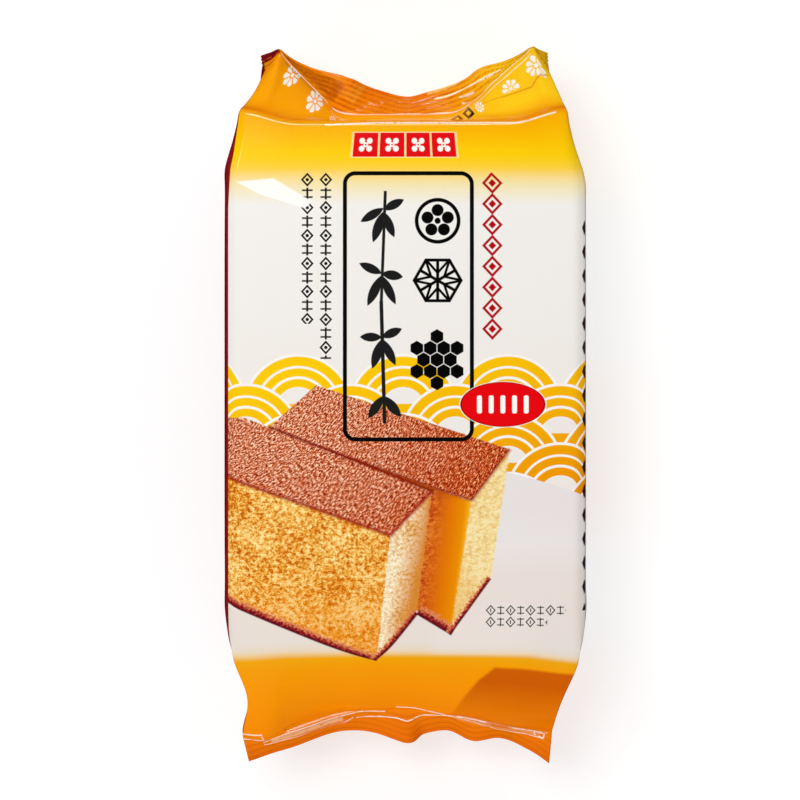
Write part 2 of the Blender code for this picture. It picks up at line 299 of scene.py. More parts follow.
def seal_frame(end, across, layer):
    """Inner line, direction out to the cut edge, and normal towards the print, at each place across."""
    here, before, after = (
        through(SEALS[end], np.clip(across * HALF_WIDTH + shift, -HALF_WIDTH, HALF_WIDTH))
        for shift in (0, -0.5, 0.5)
    )
    line = here[:, :3]
    over = here[:, 3:5] - line[:, :2]
    down = np.sqrt(np.maximum(SEAL_WIDTH**2 - (over**2).sum(axis=1), 0))
    outward = unit(np.column_stack([over, -down]))
    tangent = unit(after[:, :3] - before[:, :3])
    normal = unit(np.cross(tangent, outward) * end)
    parting = np.where(across[:, None] < 0, PARTING["left", end], PARTING["right", end])
    parted = ease(1 - (1 - abs(across)) * HALF_WIDTH / PARTING_REACH)
    return line + parting * parted[:, None] * np.sign(layer), outward, normal


def seal_point(end, across, distance, layer):
    """Layers 2 and -2 are the seal's outer faces, 1 and -1 the tucked-in side's; all fuse at the cut edge."""
    line, outward, normal = seal_frame(end, across, layer)
    offset = {1: TUCKED_LAYER, 2: OUTER_LAYER}[abs(layer)] * np.sign(layer)
    if distance > SEAL_WIDTH - 1e-6:
        offset = (OUTER_LAYER + TUCKED_LAYER) / 2 * np.sign(layer)
        offset = np.where(abs(across) <= 1 - TUCK + 1e-6, 0, offset)
    from_cut = (SEAL_WIDTH - distance) * np.linalg.norm(outward[:, :2], axis=1) / RIB_PITCH[end]
    groove = np.maximum(np.cos(2 * np.pi * (from_cut - 0.5)), 0.0) ** 2 * min(distance, 1.0)
    points = line + outward * distance + normal * np.reshape(offset - RIB_DEPTH[end] * groove, (-1, 1))
    if layer > 0:
        points[:, 2] += creased(across, end * (HALF_LENGTH + FLAP_LENGTH[end] + distance))
    return points


def flap_point(end, across, t, layer):
    """The printed flap (layer above 0) or the back's, at share t of the way from the block to the seal."""
    start = face_point(across, float(end), printed=layer > 0)
    finish = seal_point(end, across, 0.0, layer)
    if layer > 0:
        start[:, 2] -= creased(across, end * HALF_LENGTH)
        finish[:, 2] -= creased(across, end * (HALF_LENGTH + FLAP_LENGTH[end]))
    path = start + (finish - start) * t
    if layer > 0:
        run = np.linalg.norm((finish - start)[:, :2], axis=1)
        lip = LIP_WIDTH[end] / FLAP_LENGTH[end]
        past_lip = max(t - lip, 0) / (1 - lip)
        travelled = FLAP_LENGTH[end] * min(t, lip) + (run - LIP_WIDTH[end]) * past_lip
        path[:, :2] = start[:, :2] + (finish - start)[:, :2] * (travelled / run)[:, None]
        width, rise = through(SHELVES[end], across * HALF_WIDTH).T
        shelf = width / run
        done = np.clip(past_lip / (1 - shelf), 0, 1)
        dropped = done**1.25
        if end > 0:
            dropped = 0.72 * done + 0.28 * (1 - np.exp(-done / 0.09))
        lift = rise * (1 - np.clip((past_lip - 1 + shelf) / shelf, 0, 1)) * ease(t * 2)
        path[:, 2] = start[:, 2] + (finish[:, 2] - start[:, 2]) * dropped - lift
        path[:, 2] -= LIP_SLOPE * FLAP_LENGTH[end] * min(t, lip) * (1 - past_lip)
        path[:, 2] += creased(across, end * (HALF_LENGTH + FLAP_LENGTH[end] * t))
    waist = corner(across, end)[:, 4]
    path[:, 0] -= np.sign(across) * waist * np.sin(np.pi * t) ** 1.5 * abs(across) ** 3
    if abs(layer) == 1:
        path[:, 2] -= np.sign(layer) * 0.3 * (ease(t / 0.2) - t)
    return path


def tucked_point(end, w, t, side):
    """The tucked-in side panel, w from 0 at the print's edge to 1 at the back's."""
    sign = 1 if side == "right" else -1
    share = np.minimum(np.minimum(w, 1 - w), t / 2)
    across = sign * (1 - 2 * share * TUCK)
    upper = flap_point(end, across, t, 1)
    lower = flap_point(end, across, t, -1)
    height = np.clip((w - t / 2) / max(1 - t, 1e-6), 0, 1)[:, None]
    return upper + (lower - upper) * height


def places_round():
    """Places across the face and back, from left to right, and down a side without its two edges."""
    outer = 1 - TUCK * TUCK_PLACES[:-1]
    middle = np.linspace(TUCK - 1, 1 - TUCK, MIDDLE_SEGMENTS + 1)
    down = TUCK_PLACES / 2
    return np.concatenate([-outer, middle, outer[::-1]]), np.concatenate([down[1:], 1 - down[1:-1][::-1]])


ACROSS, DOWN = places_round()


def rounded_edge(distance):
    """Shift, inwards and downwards, from a square edge to its arc, at a distance along the film from it."""
    q = np.clip(distance / EDGE_RADIUS, -1, 1)
    angle = (q + 1) * np.pi / 4
    square = np.stack([np.minimum(q, 0), -np.maximum(q, 0)], axis=-1)
    arc = np.stack([np.sin(angle) - 1, np.cos(angle) - 1], axis=-1)
    return (arc - square) * EDGE_RADIUS


def round_off(loop, strength):
    """Rounds the four long edges of a loop by a strength from 0 to 1."""
    for key, up in (("face", 1), ("back", -1)):
        for sign in (1, -1):
            shift = rounded_edge((sign * ACROSS - 1) * HALF_WIDTH)
            loop[key][:, 0] += sign * shift[:, 0] * strength
            loop[key][:, 2] += up * shift[:, 1] * strength
    for side, sign in (("right", 1), ("left", -1)):
        for up, from_edge in ((1, DOWN), (-1, 1 - DOWN)):
            shift = rounded_edge(from_edge * BLOCK_THICK)
            loop[side][:, 0] += sign * shift[:, 0] * strength
            loop[side][:, 2] += up * shift[:, 1] * strength
    return loop


def block_loop(share):
    loop = {
        "face": face_point(ACROSS, share),
        "back": face_point(ACROSS, share, printed=False),
        "right": side_point(DOWN, share, "right"),
        "left": side_point(DOWN, share, "left"),
    }
    return round_off(loop, 1 - 0.5 * ease((abs(share) - 0.85) / 0.15))


def flap_loop(end, t):
    loop = {
        "face": flap_point(end, ACROSS, t, 2),
        "back": flap_point(end, ACROSS, t, -2),
        "right": tucked_point(end, DOWN, t, "right"),
        "left": tucked_point(end, DOWN, t, "left"),
    }
    return round_off(loop, 0.5 * (1 - t) ** 4)


def seal_loop(end, distance):
    loop = {
        "face": seal_point(end, ACROSS, distance, 2),
        "back": seal_point(end, ACROSS, distance, -2),
    }
    for side, sign in (("right", 1), ("left", -1)):
        inward = sign * (1 - 2 * np.minimum(DOWN, 1 - DOWN) * TUCK)
        upper = seal_point(end, inward, distance, 1)
        lower = seal_point(end, inward, distance, -1)
        height = np.where(np.isclose(DOWN, 0.5), 0.5, np.where(DOWN < 0.5, 0, 1))[:, None]
        loop[side] = upper + (lower - upper) * height
    return loop


def round_the_pack(loop):
    """A loop's points from the middle of the back, up the left side, across the print and down the right."""
    half = len(ACROSS) // 2
    back = loop["back"]
    return np.concatenate([
        back[: half + 1][::-1], loop["left"][::-1], loop["face"], loop["right"], back[half:][::-1],
    ])


def sheet_places():
    """The flat sheet's columns and rows: distance round from the print's middle, and along from the block's."""
    half = len(ACROSS) // 2
    face = ACROSS * HALF_WIDTH
    down = HALF_WIDTH + DOWN * BLOCK_THICK
    back = GIRTH / 2 - face[half:]
    right = np.concatenate([down, back[::-1]])
    columns = np.concatenate([-right[::-1], face, right])
    seal = np.linspace(0, SEAL_WIDTH, RIB_COUNT * SEGMENTS_PER_RIB + 1)
    block = np.sin(np.linspace(-1, 1, BLOCK_SEGMENTS + 1) * np.pi / 2) * 0.25 + np.linspace(-1, 1, BLOCK_SEGMENTS + 1) * 0.75
    rows = []
    for end in (-1, 1):
        beyond = HALF_LENGTH + FLAP_LENGTH[end]
        flap = [("flap", end, t, end * (HALF_LENGTH + FLAP_LENGTH[end] * t)) for t in TUCK_PLACES[1:]]
        strip = [("seal", end, d, end * (beyond + d)) for d in seal[1:]]
        rows.append(flap + strip)
    return columns, rows[0][::-1] + [("block", 0, s, s * HALF_LENGTH) for s in block] + rows[1]


def soften(points, along, softness):
    """Blurs the points along the sheet's length by a softness in millimetres that varies row by row."""
    flat = points.reshape(len(along), -1)
    result = flat.copy()
    for i, reach in enumerate(softness):
        if reach <= 0:
            continue
        places = along[i] + reach * np.linspace(-1.5, 1.5, 9)
        weights = np.exp(-np.linspace(-1.5, 1.5, 9) ** 2)
        weights /= weights.sum()
        j = np.clip(np.searchsorted(along, places) - 1, 0, len(along) - 2)
        t = np.clip((places - along[j]) / (along[j + 1] - along[j]), 0, 1)[:, None]
        result[i] = (weights[:, None] * (flat[j] * (1 - t) + flat[j + 1] * t)).sum(axis=0)
    return result.reshape(points.shape)


def draw_film():
    """Every point of the film, [row][column], with the flat sheet's rows and columns."""
    columns, rows = sheet_places()
    makers = {"block": lambda end, s: block_loop(s), "flap": flap_loop, "seal": seal_loop}
    points = np.array([round_the_pack(makers[kind](end, value)) for kind, end, value, _ in rows])
    along = np.array([row[3] for row in rows])
    softness = np.zeros(len(rows))
    for end in (1, -1):
        from_fold = abs(along - end * HALF_LENGTH)
        softness = np.maximum(softness, FOLD_SOFTNESS[end] * ease(1.6 - from_fold / (3 * FOLD_SOFTNESS[end])))
        from_seal = abs(along - end * (HALF_LENGTH + FLAP_LENGTH[end]))
        softness = np.maximum(softness, SEAL_SOFTNESS * ease(1.6 - from_seal / (3 * SEAL_SOFTNESS)))
    softness[[0, -1]] = 0
    return soften(points, along, softness), columns, along


def sheet_mesh(name, points, columns, along):
    """A flat grid with the sheet's own UV map, bent to the points."""
    rows, cols = len(along), len(columns)
    bm = bmesh.new()
    bmesh.ops.create_grid(bm, x_segments=cols - 1, y_segments=rows - 1, size=0.5)
    uv = bm.loops.layers.uv.new("sheet")
    bm.verts.layers.float.new("rib_shade")
    place = {}
    for vert in bm.verts:
        i = round((vert.co.y + 0.5) * (rows - 1))
        j = round((vert.co.x + 0.5) * (cols - 1))
        place[vert] = (i, j)
    for face in bm.faces:
        for loop in face.loops:
            i, j = place[loop.vert]
            loop[uv].uv = ((columns[j] + GIRTH / 2) * MM, (along[i] - SHEET_FOOT) * MM)
    grid = {}
    for vert, (i, j) in place.items():
        vert.co = points[i, j] * MM
        grid[i, j] = vert
    return bm, grid


def crease_tucks(bm, grid, columns):
    """Cuts the film's squares along the tucked-in sides' slanting folds, so that the folds come out straight."""
    first_left = TUCK_SEGMENTS + MIDDLE_SEGMENTS // 2
    sides = (first_left, first_left + 4 * TUCK_SEGMENTS + MIDDLE_SEGMENTS)
    seal_rows = RIB_COUNT * SEGMENTS_PER_RIB
    top_fold = seal_rows + TUCK_SEGMENTS + BLOCK_SEGMENTS
    for start in sides:
        finish = start + 2 * TUCK_SEGMENTS
        for n in range(TUCK_SEGMENTS):
            for fold, step in ((seal_rows + TUCK_SEGMENTS, -1), (top_fold, 1)):
                row = fold + step * n
                for edge, inward in ((start, 1), (finish, -1)):
                    column = edge + inward * n
                    ends = [grid[row, column], grid[row + step, column + inward]]
                    bmesh.ops.connect_verts(bm, verts=ends)


def fit(points):
    """Brings the film to the CAD part's size, with room under its back for the folded seam."""
    low, high = points.min(axis=(0, 1)), points.max(axis=(0, 1))
    box_low, box_high = np.array(cad_box[0]) / MM, np.array(cad_box[1]) / MM
    box_low[2] += FIN_THICK
    return box_low + (points - low) * (box_high - box_low) / (high - low)


def finished(name, bm):
    """The smooth object a bmesh comes to, with its faces turned outward."""
    bmesh.ops.recalc_face_normals(bm, faces=bm.faces)
    mesh = bpy.data.meshes.new(name)
    bm.to_mesh(mesh)
    bm.free()
    for polygon in mesh.polygons:
        polygon.use_smooth = True
    piece = bpy.data.objects.new(name, mesh)
    bpy.context.scene.collection.objects.link(piece)
    return piece


def make_back_seam(points, columns, along):
    """The sheet's two edges meet on the back in a fin, ribbed lengthwise, that lies folded flat over it."""
    across = np.linspace(0, FIN_REACH, FIN_RIBS * 8 + 1)
    at = columns[0] + across
    j = np.clip(np.searchsorted(columns, at, side="right") - 1, 0, len(columns) - 2)
    share = ((at - columns[j]) / (columns[j + 1] - columns[j]))[None, :, None]
    surface = points[:, j] * (1 - share) + points[:, j + 1] * share
    outward = np.cross(np.gradient(surface, axis=0), np.gradient(surface, axis=1))
    outward /= np.linalg.norm(outward, axis=2, keepdims=True)
    outward *= -np.sign(outward[len(along) // 2, 0, 2])
    past_line = np.where(along > 0, along - HALF_LENGTH - FLAP_LENGTH[1], -along - HALF_LENGTH - FLAP_LENGTH[-1])
    thick = FIN_THICK + (FIN_SEALED - FIN_THICK) * ease(past_line / 3.0)
    groove = np.maximum(np.cos(2 * np.pi * (across / FIN_REACH * FIN_RIBS - 0.5)), 0) ** 2 * FIN_RIB_DEPTH
    outer = surface + outward * (thick[:, None] - np.minimum(groove, thick[:, None] - 0.06))[:, :, None]
    inner = surface + outward * 0.03
    for end in (0, -1):
        outer[end] = inner[end]
    ring = np.concatenate([outer, inner[:, ::-1], outer[:, :1]], axis=1)
    bm, grid = sheet_mesh("back_seam", ring, np.concatenate([at, at[::-1], at[:1]]), along)
    bmesh.ops.remove_doubles(bm, verts=bm.verts, dist=0.002 * MM)
    return finished("back_seam", bm)


def make_film(points, columns, along):
    bm, grid = sheet_mesh("film", points, columns, along)
    rib_shade = bm.verts.layers.float["rib_shade"]
    # Each seal row's weight of painted shade in its rib grooves.
    for end, cut_row in ((1, -1), (-1, 0)):
        for i in np.flatnonzero(along * end > HALF_LENGTH + FLAP_LENGTH[end] + 0.3):
            from_cut = np.linalg.norm((points[i] - points[cut_row])[:, :2], axis=1) / RIB_PITCH[end]
            groove = np.maximum(np.cos(2 * np.pi * (from_cut - 0.5)), 0) ** 2
            for j in range(len(columns)):
                grid[i, j][rib_shade] = groove[j] * CRIMP_SHADE[end]
    crease_tucks(bm, grid, columns)
    seam = [grid[i, j] for i in range(len(along)) for j in (0, len(columns) - 1)]
    cut_edges = [grid[i, j] for i in (0, len(along) - 1) for j in range(len(columns))]
    bmesh.ops.remove_doubles(bm, verts=list(set(seam + cut_edges)), dist=0.002 * MM)
    return finished("film", bm)


# The flat sheet's print, in millimetres across the printed face from its middle and along from its middle.
SHEET_LENGTH = BLOCK_LENGTH + FLAP_LENGTH[1] + FLAP_LENGTH[-1] + 2 * SEAL_WIDTH
SHEET_FOOT = -(HALF_LENGTH + FLAP_LENGTH[-1] + SEAL_WIDTH)
LINE_BLUR = 0.16


def colour(red, green, blue):
    """A colour in shader values from an 0 to 255 ink chart."""
    parts = [value / 255 for value in (red, green, blue)]
    return (*[p / 12.92 if p <= 0.04045 else ((p + 0.055) / 1.055) ** 2.4 for p in parts], 1.0)


WHITE = colour(243, 240, 235)
BRIGHT_WHITE = colour(253, 251, 245)
BLACK = colour(8, 8, 8)
CHARCOAL = colour(30, 30, 30)
RED = colour(232, 8, 16)
DEEP_RED = colour(178, 12, 24)
SIDE_RED = colour(140, 18, 22)


class Field:
    """A number or a place that shader nodes work out for each point of the film."""

    tree = None

    def __init__(self, socket):
        self.socket = socket

    def __add__(self, other):
        return number("ADD", self, other)

    def __sub__(self, other):
        return number("SUBTRACT", self, other)

    def __rsub__(self, other):
        return number("SUBTRACT", other, self)

    def __mul__(self, other):
        return number("MULTIPLY", self, other)

    def __truediv__(self, other):
        return number("DIVIDE", self, other)

    def __neg__(self):
        return number("MULTIPLY", self, -1)

    def __abs__(self):
        return number("ABSOLUTE", self)

    __radd__, __rmul__ = __add__, __mul__


def plug(socket, value):
    if isinstance(value, Field):
        Field.tree.links.new(value.socket, socket)
    else:
        socket.default_value = value


def shader(kind, inputs, output=0, **settings):
    """One shader node with its inputs set or linked, and one of its outputs."""
    node = Field.tree.nodes.new(kind)
    for name, value in settings.items():
        setattr(node, name, value)
    for key, value in inputs.items():
        plug(node.inputs[key], value)
    return Field(node.outputs[output])


def number(operation, *values, clamp=False):
    return shader("ShaderNodeMath", dict(enumerate(values)), operation=operation, use_clamp=clamp)


def vector(operation, *values):
    output = 1 if operation in ("DOT_PRODUCT", "LENGTH", "DISTANCE") else 0
    inputs = dict(enumerate(values))
    if operation == "SCALE":
        inputs = {0: values[0], 3: values[1]}
    return shader("ShaderNodeVectorMath", inputs, output, operation=operation)


def least(*values):
    result = values[0]
    for value in values[1:]:
        result = number("MINIMUM", result, value)
    return result


def most(*values):
    result = values[0]
    for value in values[1:]:
        result = number("MAXIMUM", result, value)
    return result


def place(x, y):
    return shader("ShaderNodeCombineXYZ", {0: x, 1: y, 2: 1.0})


def parts(point):
    node = Field.tree.nodes.new("ShaderNodeSeparateXYZ")
    plug(node.inputs[0], point)
    return Field(node.outputs[0]), Field(node.outputs[1])


def inside(distance, blur=LINE_BLUR):
    """1 where the distance is below 0, 0 where it is above, and a narrow ramp between."""
    return number("MULTIPLY_ADD", distance, -1 / blur, 0.5, clamp=True)


def around(value, pitch, middle=0.0):
    """The value counted from the nearest of the places that repeat at a pitch."""
    return number("WRAP", value - middle, pitch / 2, -pitch / 2)


def from_disc(point, middle, radius):
    return vector("DISTANCE", point, (*middle, 1.0)) - radius


def from_box(point, middle, width, height, rounding=0.0):
    """Distance from a box with rounded corners, below 0 inside it."""
    offset = vector("ABSOLUTE", vector("SUBTRACT", point, (*middle, 1.0)))
    offset = vector("SUBTRACT", offset, (width / 2 - rounding, height / 2 - rounding, 0))
    return vector("LENGTH", vector("MAXIMUM", offset, (0, 0, 0))) - rounding


def from_lozenge(point, middle, width, height):
    """Distance from an upright lozenge, measured across its sides."""
    x, y = parts(vector("ABSOLUTE", vector("SUBTRACT", point, (*middle, 1.0))))
    scale = width * height / 2 / math.hypot(width, height)
    return (x * (2 / width) + y * (2 / height) - 1) * scale


def from_half_plane(point, start, finish):
    """Distance to the left of the line from start to finish, below 0 on its right."""
    x, y = finish[0] - start[0], finish[1] - start[1]
    length = math.hypot(x, y)
    x, y = x / length, y / length
    return vector("DOT_PRODUCT", point, (-y, x, y * start[0] - x * start[1]))


def from_polygon(point, corners):
    """Distance from a convex outline whose corners run clockwise, below 0 inside it."""
    return most(*[from_half_plane(point, a, b) for a, b in zip(corners, corners[1:] + corners[:1])])


def from_line(point, start, finish, width):
    """Distance from a straight stroke with square ends."""
    x, y = finish[0] - start[0], finish[1] - start[1]
    length = math.hypot(x, y)
    x, y = x / length, y / length
    middle = ((start[0] + finish[0]) / 2, (start[1] + finish[1]) / 2)
    along = abs(vector("DOT_PRODUCT", point, (x, y, -x * middle[0] - y * middle[1]))) - length / 2
    aside = abs(vector("DOT_PRODUCT", point, (-y, x, y * middle[0] - x * middle[1]))) - width / 2
    return most(along, aside)


def from_leaf(point, base, tip, width):
    """Distance from a pointed leaf: where two equal discs cross."""
    x, y = (tip[0] - base[0]) / 2, (tip[1] - base[1]) / 2
    half = math.hypot(x, y)
    radius = (half**2 + (width / 2) ** 2) / width
    shift = (radius - width / 2) / half
    middle = (base[0] + x, base[1] + y)
    discs = [from_disc(point, (middle[0] - s * y * shift, middle[1] + s * x * shift), radius) for s in (1, -1)]
    return most(*discs)


def turned(point, middle, count, start=0.0):
    """The point folded into the first of a number of equal slices round a middle, which becomes the origin."""
    x, y = parts(vector("SUBTRACT", point, (*middle, 0.0)))
    radius = vector("LENGTH", place_flat(x, y))
    angle = around(number("ARCTAN2", y, x), 2 * math.pi / count, start)
    return place(number("COSINE", angle) * radius, number("SINE", angle) * radius)


def place_flat(x, y):
    return shader("ShaderNodeCombineXYZ", {0: x, 1: y, 2: 0.0})


def ramp(value, stops, interpolation="LINEAR"):
    """Colours at their places from 0 to 1."""
    node = Field.tree.nodes.new("ShaderNodeValToRGB")
    node.color_ramp.interpolation = interpolation
    elements = node.color_ramp.elements
    while len(elements) < len(stops):
        elements.new(0.5)
    for element, (position, tone) in zip(elements, stops):
        element.position = position
        element.color = tone
    plug(node.inputs[0], value)
    return Field(node.outputs[0])


def lay(under, over, share, blend="MIX"):
    """One colour laid over another in a share from 0 to 1."""
    return shader(
        "ShaderNodeMix", {0: share, 6: under, 7: over}, 2, data_type="RGBA", blend_type=blend, clamp_factor=True
    )


def noise(point, scale, detail=2.0, roughness=0.5):
    return shader("ShaderNodeTexNoise", {"Vector": point, "Scale": scale, "Detail": detail, "Roughness": roughness})


def between(value, low, high):
    """0 below low, 1 above high."""
    return shader("ShaderNodeMapRange", {0: value, 1: low, 2: high}, clamp=True)


# Colours along the sheet, from the bottom cut edge to the top one; the dark band just past the top fold is painted
# shade in the fold's hollow.
ALONG_COLOURS = (
    (-120.5, (236, 112, 2)),
    (-110.5, (242, 124, 2)),
    (-107.0, (250, 140, 2)),
    (-96.0, (252, 148, 0)),
    (-84.0, (248, 156, 0)),
    (-79.4, (242, 166, 8)),
    (-77.9, (242, 190, 62)),
    (-76.2, (238, 216, 166)),
    (-74.2, (236, 228, 220)),
    (53.0, (242, 239, 234)),
    (59.0, (246, 228, 175)),
    (63.5, (253, 208, 62)),
    (66.5, (254, 206, 16)),
    (68.5, (254, 204, 6)),
    (73.0, (253, 186, 4)),
    (76.8, (250, 173, 3)),
    # Painted shade in the hollow just past the top fold.
    (77.6, (222, 118, 2)),
    (81.0, (240, 150, 2)),
    (86.0, (252, 170, 2)),
    (97.0, (253, 172, 2)),
    (104.5, (238, 130, 6)),
    (116.0, (232, 118, 8)),
)
SIDE_PRINT_EDGE = -53.2
BACK_PRINT_EDGE = HALF_WIDTH + BLOCK_THICK + 3.0
BACK_FIELD_MIDDLE, BACK_FIELD_SIZE = GIRTH / 2 - 27.5, (30.0, 96.0)

# The traditional waves: fans of rings in rows, each row over the one above it.
WAVE_PITCH = 30.5
WAVE_ROW = 8.54
WAVE_MIDDLE = (-31.35, -6.4)
WAVE_ROWS = 6
WAVE_RADIUS = 16.1
WAVE_BANDS = ((15.3, 12.6), (11.9, 9.6), (8.8, 6.5))
WAVE_NOTCH = (1.6, 6.0)
TABLE_EDGE = ((29.3, -24.1), (38.6, -27.0), (56.0, -31.5))

# The two slices in the picture, by their corners.
BACK_TOP = ((-40.2, -12.0), (-26.1, 0.6), (30.2, -18.0), (19.1, -32.8))
BACK_SIDE = ((-40.0, -11.6), (19.1, -32.8), (13.05, -70.5), (3.2, -65.0))
BACK_END = ((17.6, -32.8), (30.2, -18.0), (24.65, -55.1), (12.4, -70.2))
FRONT_TOP = ((-58.0, -8.8), (-47.0, -8.8), (7.5, -30.2), (-4.6, -42.9), (-58.0, -24.1))
FRONT_SIDE = ((-58.0, -24.1), (-3.0, -42.9), (-7.2, -80.0), (-58.0, -59.6))
FRONT_END = ((-4.6, -42.9), (7.5, -30.2), (3.2, -65.0), (-8.6, -80.0))
# The crust under each slice: start and finish of its lower edge, and its height.
FAR_CRUST = (((3.0, -65.9), (13.2, -72.0), 2.9), ((13.0, -71.9), (24.8, -55.6), 1.5))
NEAR_CRUST = (((-58.0, -60.7), (-8.4, -81.4), 2.5), ((-8.8, -81.3), (3.6, -65.7), 2.0))

# The label panel and what is on and beside it.
PANEL_MIDDLE, PANEL_SIZE = (0.7, 23.5), (38.1, 78.4)
PANEL_LINE, PANEL_ROUNDING = 1.2, 3.6
SQUARE_PITCH, SQUARE_SIZE, SQUARES_MIDDLE = 7.93, (7.15, 6.85), (-0.2, 70.4)
FINE_COLUMNS = ((-23.3, 62.3, 8.2), (-28.7, 62.3, 18.4))
FINE_PITCH = 4.06
LOZENGE_COLUMN = (25.1, 62.3, 13.8)
LOZENGE_PITCH = 6.05
OVAL_MIDDLE, OVAL_SIZE = (28.15, -4.95), (24.8, 13.05)
CAPTION_ROWS = ((23.2, 46.6, -64.7), (23.2, 41.2, -68.1))
CAPTION_PITCH = 2.9
# Flowers on the top flap: middle, what a step across and one along the sheet come to in plan, and radius.
FLOWERS = (
    ((-39.2, 100.6), (0.86, -1.0), (0.13, 0.58), 3.3),
    ((-29.2, 95.3), (0.96, -0.52), (0.04, 0.34), 3.1),
    ((-22.6, 84.0), (0.89, -0.19), (0.0, 0.17), 0.9),
    ((45.8, 97.4), (0.84, 0.37), (-0.16, 0.77), 3.2),
    ((35.7, 94.6), (0.81, 0.46), (-0.09, 0.58), 2.6),
    ((23.9, 93.4), (0.90, 0.46), (0.0, 0.27), 1.4),
)
# A crease across the right of the top flap, under which the flower there is cut off.
FLAP_TUCK = ((28.0, 94.6), (60.0, 89.0))
DARK_LOZENGES = (
    ((19.9, 91.8), (0.87, 0.33), (0.01, 0.19)),
    ((16.2, 86.0), (0.90, 0.20), (0.0, 0.17)),
)


# A painted white highlight on the face's left, over the small dent pressed into the film there.
PAINTED_GLARE = ((-49.6, 59.7), (-38.6, 60.7), (-27.3, 53.9), (-29.5, 52.0), (-42.0, 55.8))
# Tones of the painted highlights: pale white and golden.
GLINT_PALE, GLINT_GOLD = (255, 250, 238), (255, 224, 120)
# Painted highlights, reflections and shade on the film's folds, seals and ribs: tone, width, strength and the places
# they run through. The pale and golden tones are painted highlights and reflections, the olive band a painted sheen,
# the dark orange bands painted shade.
PAINTED_LIGHT_LINES = (
    (GLINT_PALE, 0.5, 0.8, (-45.0, 104.4), (-24.0, 104.2)),
    ((150, 120, 60), 1.5, 0.45, (-43.0, 103.0), (-25.0, 102.4)),
    (GLINT_PALE, 1.3, 0.75, (-22.0, 104.0), (-16.5, 104.4), (-11.0, 103.4), (0.0, 104.0), (12.0, 104.4), (20.0, 103.6)),
    (GLINT_PALE, 0.5, 0.85, (20.0, 103.8), (28.0, 104.4), (37.0, 104.4), (45.5, 104.6)),
    (GLINT_PALE, 0.45, 0.75, (22.0, 99.5), (30.0, 101.4), (40.0, 102.2), (45.0, 102.6)),
    (GLINT_PALE, 0.45, 0.8, (-25.0, 76.2), (-8.0, 76.8), (48.0, 76.8)),
    ((178, 70, 2), 7.0, 0.6, (-43.0, 110.5), (-22.5, 109.5)),
    ((252, 176, 50), 5.0, 0.45, (-15.0, 118.0), (-18.5, 109.0)),
    ((224, 136, 14), 0.7, 0.75, (50.0, 96.4), (42.8, 90.4), (34.0, 92.3), (24.6, 95.2)),
    (GLINT_GOLD, 0.9, 0.7, (9.5, 111.7), (21.4, 112.0), (31.0, 109.2)),
    (GLINT_PALE, 0.55, 0.8, (9.5, 111.7), (21.4, 112.0), (34.0, 108.4)),
    (GLINT_GOLD, 0.6, 0.7, (7.1, 115.1), (20.2, 115.6)),
    (GLINT_PALE, 0.6, 0.7, (17.9, 109.4), (23.0, 108.0)),
    (GLINT_PALE, 0.6, 0.7, (17.9, 106.8), (20.5, 105.2)),
    ((250, 214, 170), 3.0, 0.5, (-42.5, -110.9), (-30.0, -111.4), (-18.0, -111.4)),
    (GLINT_PALE, 0.55, 0.85, (-45.2, -111.5), (-41.3, -109.6), (-35.7, -109.0), (-22.6, -109.2), (-10.7, -109.2)),
    (GLINT_PALE, 0.45, 0.75, (-45.2, -112.7), (-38.5, -113.0), (-29.5, -114.2), (-18.0, -114.4), (-14.3, -112.2)),
    (GLINT_PALE, 0.4, 0.8, (-12.0, -109.4), (-4.8, -109.9)),
    (GLINT_PALE, 0.4, 0.85, (-13.1, -112.5), (-2.4, -112.0), (0.3, -112.9), (4.8, -111.6), (17.9, -109.0)),
    (GLINT_PALE, 0.4, 0.8, (-2.4, -107.7), (6.0, -107.7), (16.7, -108.9), (25.0, -109.4), (36.0, -110.6), (49.4, -112.2)),
    ((236, 180, 130), 2.4, 0.4, (20.2, -109.2), (34.4, -109.0), (48.0, -110.4)),
    (GLINT_PALE, 0.35, 0.7, (20.2, -108.6), (34.4, -107.9), (45.2, -108.9), (50.5, -109.6)),
    (GLINT_PALE, 0.35, 0.8, (46.0, -109.4), (49.5, -110.0), (49.4, -112.0), (46.5, -111.2), (46.0, -109.4)),
    (GLINT_PALE, 0.45, 0.8, (-53.0, -108.2), (-45.6, -107.2), (-44.8, -109.6)),
    (GLINT_PALE, 0.45, 0.8, (-53.0, -110.2), (-45.2, -109.4)),
)


def print_ground(point, x, y):
    low, high = ALONG_COLOURS[0][0], ALONG_COLOURS[-1][0]
    stops = [((at - low) / (high - low), colour(*tone)) for at, tone in ALONG_COLOURS]
    ground = ramp((y - low) / (high - low), stops)
    # Painted light on the top flap's right, painted shade on its left.
    ground = lay(ground, colour(255, 210, 26), between(x, 6.0, 34.0) * between(y, 78.0, 86.0) * 0.75)
    ground = lay(ground, colour(250, 156, 2), between(-x, 6.0, 30.0) * between(y, 78.0, 86.0) * 0.6)
    # Painted shade on the bottom flap's sagging corner.
    sag = most(*[from_half_plane(point, a, b) for a, b in zip(SAG_EDGE[1:], SAG_EDGE)])
    sag = most(sag, y - SAG_EDGE[0][1])
    return lay(ground, colour(206, 88, 0), inside(sag, 1.2) * inside(-109.5 - y, 3.0) * between(y, -118.0, -90.0) * 0.95)


def paint_light_and_shade(paper, point, x, y):
    """Painted highlights, reflections and shade along the folds, seals and ribs: thin lines and broader veils, broken
    up by noise; last, a painted white highlight on the face's left.
    """
    patchiness = noise(vector("MULTIPLY", point, (0.5, 1.2, 1.0)), 1.0, 2.0, 0.6)
    for tone, width, strength, *corners in PAINTED_LIGHT_LINES:
        shapes = least(*[from_line(point, a, b, width) for a, b in zip(corners, corners[1:])])
        share = inside(shapes, 0.25 if width < 1.6 else 0.8) * strength
        paper = lay(paper, colour(*tone), share * between(patchiness, 0.28, 0.46))
    return lay(paper, colour(255, 253, 249), inside(from_polygon(point, PAINTED_GLARE), 0.4) * 0.9)


